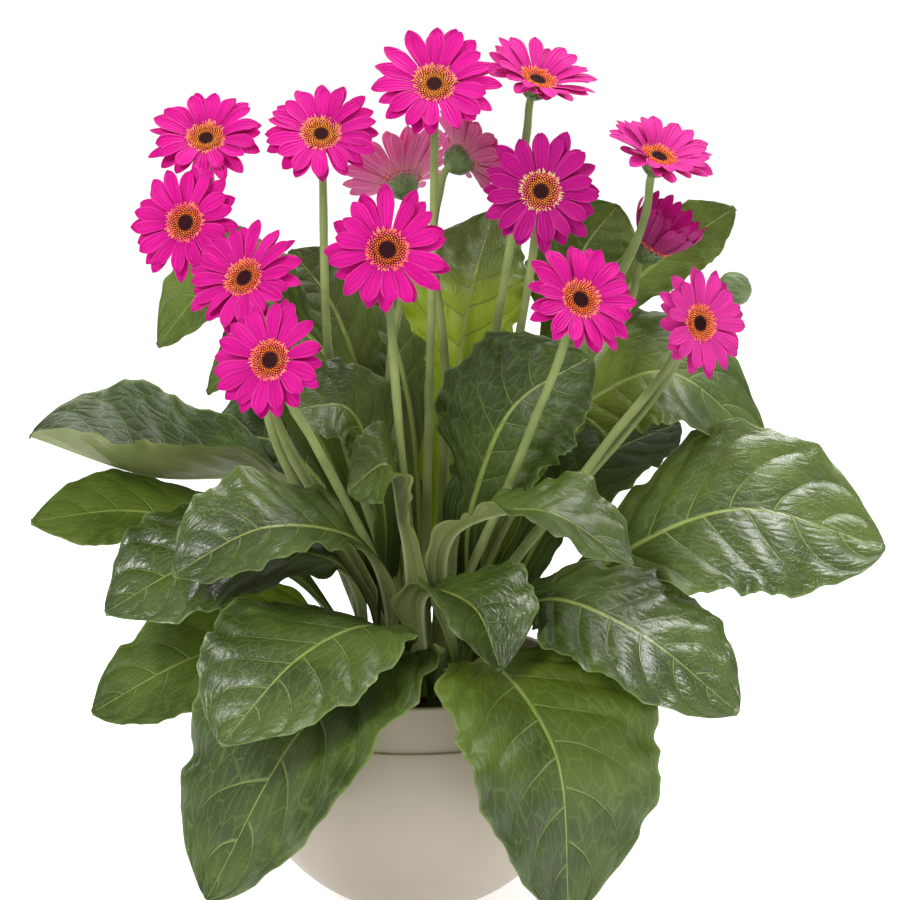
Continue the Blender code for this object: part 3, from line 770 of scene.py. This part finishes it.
def stem_route(centre, facing, ring, angle, mid, back):
    """Points and tangents of a stem from the crown through mid to the back of its head."""
    axis = direction(*facing)
    base = crown_spot(ring, angle)
    top = above_soil(centre) - axis * back
    neck = top - axis * NECK_BACK - np.array([0, 0, NECK_DROP])
    middle = above_soil(mid)
    outward = np.array([*(middle - base)[:2], 0])
    stations = np.concatenate([np.linspace(0, 2, STEM_RINGS, endpoint=False),
                               np.linspace(2, 3, NECK_RINGS)])
    return smooth_path([base, middle, neck, top], np.array([0, 0, 1]) + STEM_LEAN * outward,
                       axis, stations)


def tube(place, along, radius, sides, ribs=0, depth=0.0):
    """Rings about a path: place + radius * (cos a * side + sin a * other), the radius
    swelling by depth at each of its ribs. The side direction is carried along the path."""
    side = np.empty_like(place)
    side[0] = unit(np.cross(along[0], [0.3, 1, 0.1]))
    for i in range(1, len(place)):
        side[i] = unit(side[i - 1] - along[i] * (side[i - 1] @ along[i]))
    other = np.cross(along, side)
    a = np.arange(sides) * math.tau / sides
    r = np.broadcast_to(np.asarray(radius, float), len(place))[:, None] * (1 + depth * np.cos(ribs * a))
    return (place[:, None] + (r * np.cos(a))[..., None] * side[:, None]
            + (r * np.sin(a))[..., None] * other[:, None])[None]


def around(middle, frame_of, radius, forward, sideways, azimuth):
    """Points about a head's axis: middle + axis * forward + radial * radius + tangent *
    sideways, the radial and tangent directions at each azimuth."""
    axis, right, up = frame_of
    radius, forward, sideways, azimuth = (
        field[..., None] for field in np.broadcast_arrays(radius, forward, sideways, azimuth))
    radial = np.cos(azimuth) * right + np.sin(azimuth) * up
    tangent = -np.sin(azimuth) * right + np.cos(azimuth) * up
    return middle + forward * axis + radius * radial + sideways * tangent


def cup_radius(share):
    """The cup's radius at a share of its depth, from the stem to its brim."""
    return STEM_RADIUS + (CUP_RADIUS - 0.8 * MM - STEM_RADIUS) * np.sin(
        math.pi / 2 * np.clip(share, 0, 1.05)) ** 0.75


def bracts(base, frame_of, seed):
    """Rows of pointed bracts lying on the cup, each a thin closed blade. Along its length u
    and across w, a bract lies at the cup's radius plus a lift that grows to its tip."""
    draw = np.random.default_rng(seed)
    u = np.linspace(0, 1, 9)[:, None]
    w = BRACT_ACROSS
    face = np.array([0, 1, 1.2, 1, 0, -1, -1, -1])
    each = (BRACTS_IN_ROW, 1, 1)
    place = np.arange(BRACTS_IN_ROW).reshape(each)
    groups = []
    for row, (low, high, wide) in enumerate(BRACT_ROWS):
        a = (place + 0.5 * (row % 2) + draw.uniform(-0.15, 0.15, each)) * math.tau / BRACTS_IN_ROW
        reach = high + draw.uniform(-0.08, 0.08, each)
        share = low + (reach - low) * u
        half = 2.5 * MM * wide * np.sin(math.pi * (0.2 + 0.8 * u)) ** 0.8 + 0.05 * MM
        lift = (0.5 + 0.45 * (2 - row) + 0.9 * u**2 * draw.uniform(0.4, 1.6, each)) * MM
        radius = cup_radius(share) + lift - half * w**2 * 0.12 + face * 0.22 * MM
        points = around(base, frame_of, radius, share * CUP_DEPTH, half * w, a)
        groups.append((points, leafy.material, {"tip": u, "margin": np.abs(w)}))
    return groups


def stem(number, centre, facing, ring, angle, mid):
    """A stem with its cup and bracts, in one piece up to the back of the head."""
    place, along = stem_route(centre, facing, ring, angle, mid, CUP_DEPTH + HEAD_BACK + GAP)
    rise = np.linspace(0, 1, len(place))
    wobble = 1 + 0.03 * np.sin(rise * 23 + number) + 0.02 * np.sin(rise * 51 + 2 * number)
    radius = STEM_RADIUS * wobble * (1.12 - 0.16 * rise)
    axis = direction(*facing)
    base = place[-1]
    depth = np.linspace(0.08, 1.0, CUP_RINGS)
    place = np.concatenate([place, base + depth[:, None] * CUP_DEPTH * axis])
    along = np.concatenate([along, np.broadcast_to(axis, (CUP_RINGS, 3))])
    radius = np.concatenate([radius, cup_radius(depth)])
    rise = np.concatenate([rise, np.ones(CUP_RINGS)])
    shaft = tube(place, along, radius, STEM_SIDES, 5, 0.035)
    piece(f"flower_stalk_{number}",
          [(shaft, downy.material, {"rise": rise[:, None]})]
          + bracts(base, head_frame(facing), number), [f"stem_{number}"])


# number, centre in mm above the soil, (azimuth, elevation) it faces, diameter in mm,
# ring, angle on it, middle of the stem
FLOWERS = [
    (1, (16, 30, 455), (-90, 38), 98, INNER_STEM_RING, 110, (12, 18, 225)),
    (2, (93, 60, 455), (-55, 60), 90, INNER_STEM_RING, 50, (62, 40, 265)),
    (3, (-157, 72, 410), (-95, 45), 90, OUTER_STEM_RING, 150, (-112, 42, 220)),
    (4, (-68, 30, 418), (-90, 40), 90, INNER_STEM_RING, 165, (-62, 25, 235)),
    (5, (-167, 3, 356), (-110, 18), 88, OUTER_STEM_RING, 175, (-112, 8, 220)),
    (6, (-119, -70, 326), (-120, 35), 90, OUTER_STEM_RING, 214, (-108, -38, 230)),
    (7, (-98, -125, 277), (-110, 22), 88, OUTER_STEM_RING, 237, (-71, -87, 211)),
    (8, (-17, -75, 348), (-90, 8), 92, OUTER_STEM_RING, 262, (-10, -48, 215)),
    (9, (94, -10, 381), (-85, 18), 92, INNER_STEM_RING, 290, (72, -3, 235)),
    (10, (120, -85, 313), (-65, 32), 88, OUTER_STEM_RING, 290, (84, -54, 205)),
    (11, (182, 20, 402), (-55, 60), 86, INNER_STEM_RING, 355, (130, 18, 265)),
    (12, (182, 80, 327), (-25, 55), 84, OUTER_STEM_RING, 31, (132, 25, 237)),
    (13, (208, -50, 290), (-55, 15), 82, OUTER_STEM_RING, 353, (140, -41, 195)),
    (14, (-10, 162, 366), (112, 45), 96, OUTER_STEM_RING, 110, (-19, 90, 235)),
    (15, (37, 92, 394), (32, 30), 86, OUTER_STEM_RING, 72, (24, 52, 235)),
]

for number, centre, facing, diameter, ring, angle, mid in FLOWERS:
    stem(number, centre, facing, ring, angle, mid)


# ================================================================ flower heads
# Composite heads: strap-shaped ray florets in two layers, bright magenta with pale backs and
# fine lengthwise grooves, then a fringe of short pink and peach florets, then a dense disc of
# tiny florets, coral at its edge and dark maroon in the middle.

OUTER_RAYS = 16
INNER_RAYS = 14
RAY_RINGS = 20
RAY_COLUMNS = 9
RAY_HALF_WIDTH = 6.3 * MM
RAY_HALF_THICKNESS = 0.22 * MM
FLAT_CUP = 0.1              # how far the rays' tips come forward, as a share of their reach
RAISED_CUPS = {2: 0.25, 11: 0.25, 12: 0.8, 14: 0.42, 15: 0.3}  # the same for the deeper heads
HALF_OPEN = 12
USUAL_DIAMETER = 92         # mm, of a head with rays of the width above
DEEP = {9: 0.85, 12: 0.8, 7: 0.15, 6: 0.1}      # heads of a deeper magenta, and how much
LIGHT = {11: 0.2, 13: 0.25, 2: 0.1}             # heads of a paler magenta, and how much
WARM = {1: 1.0, 3: 0.8, 4: 0.9, 9: 0.6}         # discs more gold than coral, and how much
USUAL_WARMTH = 0.15
PALE_FRINGE = 9
DISC_SHARE = 0.30           # the disc's radius as a share of the head's
FRINGE_SHARE = 0.41
# The dome under the florets: (share of the disc's radius, height in mm) from its top
DOME = [(0.02, 1.9), (0.4, 1.8), (0.6, 1.6), (0.68, 1.2),
        (0.7, 0.4), (0.68, -1.2), (0.5, -2.6), (0.02, -2.9)]
DOME_SIDES = 32
FLORET_RADIUS = 0.46 * MM
FLORET_SIDES = 6
FLORET_RINGS = [(0, 0.6), (0.35, 0.75), (0.8, 1.0), (1.0, 0.5)]     # (height, girth) of each
DISC_FLORETS = 230
FRINGE_FLORETS = 130
GOLDEN_ANGLE = math.radians(137.508)

petal = Graph("ray_floret")
u = petal.field("u")
w = petal.field("w")
draw_share = petal.field("chance")
front = petal.field("front")
stripe = petal.noise(1.0, 3.0, petal.place(petal.times(w, 5.0), petal.times(u, 1.2),
                                           petal.times(draw_share, 60.0)))
line = petal.math("ABSOLUTE", petal.math("SINE", petal.times(w, 4.7)))
colour = petal.mix(petal.ramp(stripe, 0.3, 0.7), tone(192, 0, 126), tone(238, 0, 160))
colour = petal.mix(petal.ramp(draw_share, 0.2, 1.0, 0.0, 0.4), colour, tone(236, 30, 166))
colour = petal.mix(petal.ramp(line, 0.0, 0.35, 0.45, 0.0), colour, tone(164, 0, 108))
colour = petal.mix(petal.ramp(u, 0.0, 0.3, 0.6, 0.0), colour, tone(150, 0, 90))
colour = petal.mix(petal.field("light"), colour, tone(244, 96, 190))
colour = petal.mix(petal.times(petal.field("deep"), 0.8), colour, tone(168, 0, 118))
colour = petal.mix(petal.ramp(petal.math("ABSOLUTE", w), 0.8, 1.0, 0.0, 0.3), colour, tone(250, 96, 180))
back = petal.mix(petal.ramp(stripe, 0.3, 0.7), tone(206, 70, 136), tone(232, 122, 174))
back = petal.mix(petal.ramp(u, 0.0, 0.5, 0.6, 0.0), back, tone(212, 160, 160))
back = petal.mix(petal.field("deep"), back, tone(164, 16, 112))
colour = petal.mix(front, back, colour)
petal.set(Base_Color=colour, Roughness=0.6, Specular_IOR_Level=0.2, Sheen_Weight=0.18,
          Sheen_Roughness=0.35, Sheen_Tint=tone(255, 150, 220))
groove = petal.math("SINE", petal.times(w, 14.0))
petal.bump(petal.plus(petal.times(groove, 0.6), stripe), 0.35 * MM)
petal.let_through(petal.mix(0.5, colour, tone(255, 60, 170)), 0.2)

floret = Graph("disc_floret")
out_share = floret.field("out")
tip = floret.field("u")
warm = floret.field("warm")
heart = floret.mix(warm, tone(26, 4, 8), tone(46, 32, 12))
coral = floret.mix(warm, tone(240, 84, 34), tone(236, 140, 34))
coral = floret.mix(floret.ramp(floret.field("chance"), 0.3, 0.9), coral,
                   floret.mix(warm, tone(255, 142, 74), tone(255, 188, 84)))
peach = floret.mix(floret.field("chance"), tone(238, 62, 96), tone(255, 150, 120))
peach = floret.mix(floret.field("pale"), peach, tone(224, 186, 142))
inner = floret.plus(out_share, floret.times(warm, 0.08))
colour = floret.mix(floret.ramp(inner, 0.42, 0.56), heart, coral)
colour = floret.mix(floret.ramp(out_share, 0.97, 1.03), colour, peach)
tip_colour = floret.mix(floret.ramp(inner, 0.38, 0.56), tone(44, 8, 10), tone(255, 176, 96))
tip_colour = floret.mix(floret.ramp(out_share, 1.0, 1.05), tip_colour, peach)
colour = floret.mix(floret.ramp(tip, 0.55, 1.0, 0.0, 0.5), colour, tip_colour)
colour = floret.mix(floret.ramp(tip, 0.0, 0.6, 0.7, 0.0), colour, tone(58, 8, 20))
floret.set(Base_Color=colour, Roughness=0.7, Specular_IOR_Level=0.15)


def head(number, centre, facing, diameter, cup):
    """A flower head. Ray k of a layer lies along azimuth a_k: at u from its base to its tip
    and w across, radius = r0 + reach * u, forward = reach * (cup * u + arch * sin(pi u)) less
    a channel across w, and half width = W * widening(u) * rounding(u)."""
    draw = np.random.default_rng(100 + number)
    frame_of = head_frame(facing)
    middle = above_soil(centre)
    reach = diameter * MM / 2
    disc = reach * DISC_SHARE
    fringe = reach * FRINGE_SHARE
    warm = WARM.get(number, USUAL_WARMTH)
    groups = []
    u = np.linspace(0, 1, RAY_RINGS)[:, None]
    across = np.linspace(-1, 1, RAY_COLUMNS)
    w = np.concatenate([across, across[::-1]])
    face = np.repeat([1.0, -1.0], RAY_COLUMNS)
    for layer, count in enumerate((OUTER_RAYS, INNER_RAYS)):
        each = (count, 1, 1)
        a = (np.arange(count).reshape(each) + 0.5 * layer) * math.tau / count
        a = a + draw.normal(0, 0.055, each)
        chance = draw.uniform(0, 1, each)
        size = (1 - 0.09 * layer) * draw.uniform(0.9, 1.04, each)
        lean = draw.normal(0, 0.045, each) * (1 if layer == 0 else 0.7)
        twist = draw.normal(0, 0.16, each)
        start = disc * 0.75
        r = start + (reach * size - start) * u
        tilt = cup + lean - 0.035 + 0.075 * layer
        arch = 0.07 + draw.normal(0, 0.02, each)
        forward = reach * (tilt * u**1.3 + arch * np.sin(math.pi * u)) + (0.2 + 1.5 * layer) * MM
        if number == HALF_OPEN:
            r = start + (r - start) * (1 - 0.45 * u**1.5)
        wide = 0.45 + 0.55 * step(u, -0.1, 0.72)
        x = np.clip((u - 0.66) / 0.34, 0, 1)
        rounding = np.clip(1 - x**2, 0.002, 1) ** 0.72
        half = (RAY_HALF_WIDTH * (diameter / USUAL_DIAMETER) * wide * rounding
                * draw.uniform(0.86, 1.1, each))
        channel = half * 0.30 * (1 - w**2) * (0.6 + 0.4 * u)
        groove = 0.20 * MM * np.cos(w * math.pi * 3) * np.clip(half / RAY_HALF_WIDTH, 0, 1)
        curl_tip = -0.9 * MM * step(u, 0.8, 1) * draw.uniform(-0.6, 1.6, each)
        thick = RAY_HALF_THICKNESS * np.sqrt(np.clip(1.02 - w**2, 0, 1)) * face
        forward = forward - channel + groove + thick + curl_tip + half * w * np.sin(twist) * u
        sway = draw.normal(0, 1.1, each) * MM * u**2
        points = around(middle, frame_of, r, forward, half * w * np.cos(twist) + sway, a)
        groups.append((points, petal.material, {
            "u": u, "w": w, "chance": chance, "front": np.clip(face, 0, 1),
            "deep": DEEP.get(number, 0.0), "light": LIGHT.get(number, 0.0)}))

    # The dome under the florets, closed behind down to the cup.
    dome_out, dome_up = np.array(DOME).T[..., None]
    a = np.arange(DOME_SIDES) * math.tau / DOME_SIDES
    points = around(middle, frame_of, dome_out * disc, dome_up * MM, 0.0, a)[None]
    groups.append((points, floret.material, {"out": dome_out, "u": 0.0, "warm": warm}))

    # Disc florets in a sunflower spiral: radius grows with the root of the floret's number.
    each = (DISC_FLORETS, 1, 1)
    k = np.arange(DISC_FLORETS).reshape(each)
    share = np.sqrt((k + 0.6) / DISC_FLORETS)
    ring_u, ring_girth = np.array(FLORET_RINGS).T[..., None]
    b = np.arange(FLORET_SIDES) * math.tau / FLORET_SIDES
    girth = ring_girth * FLORET_RADIUS * (0.8 + 0.45 * share) * draw.uniform(0.85, 1.2, each)
    tall = (1.3 + 1.7 * step(share, 0.45, 0.8) * draw.uniform(0.6, 1.3, each)) * MM
    foot = (1.8 - 0.8 * share**2) * MM
    radius = share * disc + tall * ring_u * 0.5 * share**2 + girth * np.cos(b)
    points = around(middle, frame_of, radius, foot + tall * ring_u - 0.4 * MM,
                    girth * np.sin(b), k * GOLDEN_ANGLE)
    groups.append((points, floret.material, {
        "out": share, "u": ring_u, "warm": warm, "chance": draw.uniform(0, 1, each)}))

    # The fringe: short narrow florets that stand up round the disc and curl outwards.
    each = (FRINGE_FLORETS, 1, 1)
    a = np.arange(FRINGE_FLORETS).reshape(each) + draw.uniform(-0.4, 0.4, each)
    u = np.linspace(0, 1, 7)[:, None]
    across = np.array([-1, 0, 1, 0])
    lift = np.array([0, 0.5, 0, -0.5])
    end = (fringe - disc) * draw.uniform(0.45, 1.15, each)
    rise_most = draw.uniform(2.2, 4.6, each) * MM
    forward = rise_most * np.sin(math.pi * (0.08 + 0.66 * u)) + lift * 0.5 * MM
    half = 0.6 * MM * (1 - 0.7 * u**2) * draw.uniform(0.7, 1.2, each)
    sideways = half * across + draw.normal(0, 0.5, each) * MM * u
    points = around(middle, frame_of, disc * 0.93 + end * u**1.3, forward, sideways,
                    a * math.tau / FRINGE_FLORETS)
    groups.append((points, floret.material, {
        "out": 1.1, "u": u * 0.75 + 0.2, "warm": warm,
        "pale": 1.0 if number == PALE_FRINGE else warm * 0.3,
        "chance": draw.uniform(0, 1, each)}))
    piece(f"head_{number}", groups, [f"flower_{number}"])


for number, centre, facing, diameter, ring, angle, mid in FLOWERS:
    head(number, centre, facing, diameter, RAISED_CUPS.get(number, FLAT_CUP))


# ================================================================ bud
# One closed bud, nodding: overlapping green bracts with pale ridges round a tight centre,
# on its own thinner stem.

BUD_RADIUS = 12.5 * MM
BUD_LENGTH = 27 * MM
BUD_STEM_RADIUS = 2.6 * MM
BUD_BRACTS = 13
BUD_ROWS = ((-64, 30), (-58, 74))   # from where to where a row's bracts run, in degrees
BUD_PLACE = (243, 50, 299)
BUD_FACING = (-10, -25)

place, along = stem_route(BUD_PLACE, BUD_FACING, OUTER_STEM_RING, 12, (195, -8, 253),
                          BUD_LENGTH / 2)
rise = np.linspace(0, 1, len(place))
shaft = tube(place, along, BUD_STEM_RADIUS * (1.1 - 0.12 * rise), 16, 5, 0.03)
bud_frame = head_frame(BUD_FACING)
bud_middle = above_soil(BUD_PLACE)
polar = np.radians(np.linspace(-72, 80, 22))
a = np.arange(52) * math.tau / 52
core_r = np.cos(polar)[:, None] * (BUD_RADIUS - 1.2 * MM) * (1 + 0.05 * np.cos(BUD_BRACTS * a))
core_f = (np.sin(polar) * BUD_LENGTH / 2)[:, None]
core = around(bud_middle, bud_frame, core_r, core_f, 0.0, a)[None]
groups = [(shaft, downy.material, {"rise": rise[:, None]}),
          (core, leafy.material, {"margin": 0.0})]
u = np.linspace(0, 1, 12)[:, None]
w = BRACT_ACROSS
face = np.array([0, 1, 1.4, 1, 0, -1, -1, -1])
for row, (low, high) in enumerate(BUD_ROWS):
    a = ((np.arange(BUD_BRACTS) + 0.5 * row) * math.tau / BUD_BRACTS)[:, None, None]
    angle = np.radians(low + (high - low) * u)
    radius = np.cos(angle) * (BUD_RADIUS - 0.7 * MM) + (0.7 - 0.5 * row) * MM + face * 0.3 * MM
    half = 2.9 * MM * np.sin(math.pi * (0.18 + 0.82 * u)) ** 0.8 + 0.05 * MM
    forward = np.sin(angle) * BUD_LENGTH / 2
    points = around(bud_middle, bud_frame, radius, forward, half * w, a)
    groups.append((points, leafy.material, {"tip": u, "margin": np.abs(w)}))
piece("nodding_bud", groups, ["bud_with_stem"])


# ================================================================ floor and light
# A plain white floor that runs far back, with one big soft light from the front left,
# a broad one overhead and an even pale surround.

FLOOR_REACH = 12.0

floor_mesh = bpy.data.meshes.new("floor")
corners = [(-FLOOR_REACH, -FLOOR_REACH, 0), (FLOOR_REACH, -FLOOR_REACH, 0),
           (FLOOR_REACH, FLOOR_REACH, 0), (-FLOOR_REACH, FLOOR_REACH, 0)]
floor_mesh.from_pydata(corners, [], [(0, 1, 2, 3)])
floor = in_scene("floor", floor_mesh)
paper = Graph("floor_white")
paper.set(Base_Color=tone(250, 250, 250), Roughness=0.9, Specular_IOR_Level=0.1,
          Emission_Color=(1, 1, 1, 1), Emission_Strength=0.55)
floor_mesh.materials.append(paper.material)


def soft_light(name, place, aim, size, power):
    light = bpy.data.lights.new(name, "AREA")
    light.shape = "RECTANGLE"
    light.size, light.size_y = size
    light.energy = power
    holder = in_scene(name, light)
    holder.location = place
    holder.rotation_euler = (Vector(aim) - Vector(place)).to_track_quat("-Z", "Y").to_euler()


soft_light("key", (-1.3, -1.6, 1.9), (0, 0, 0.35), (0.9, 0.9), 42)
soft_light("top", (0.6, 0.6, 2.2), (0, 0, 0.35), (1.4, 1.0), 44)
soft_light("fill", (1.8, -1.5, 0.9), (0, 0, 0.3), (1.2, 1.2), 6)

world = bpy.data.worlds.new("surround")
world.use_nodes = True
world.node_tree.nodes["Background"].inputs["Color"].default_value = (1, 1, 1, 1)
world.node_tree.nodes["Background"].inputs["Strength"].default_value = 0.48
bpy.context.scene.world = world
bpy.context.scene.view_settings.view_transform = "Standard"
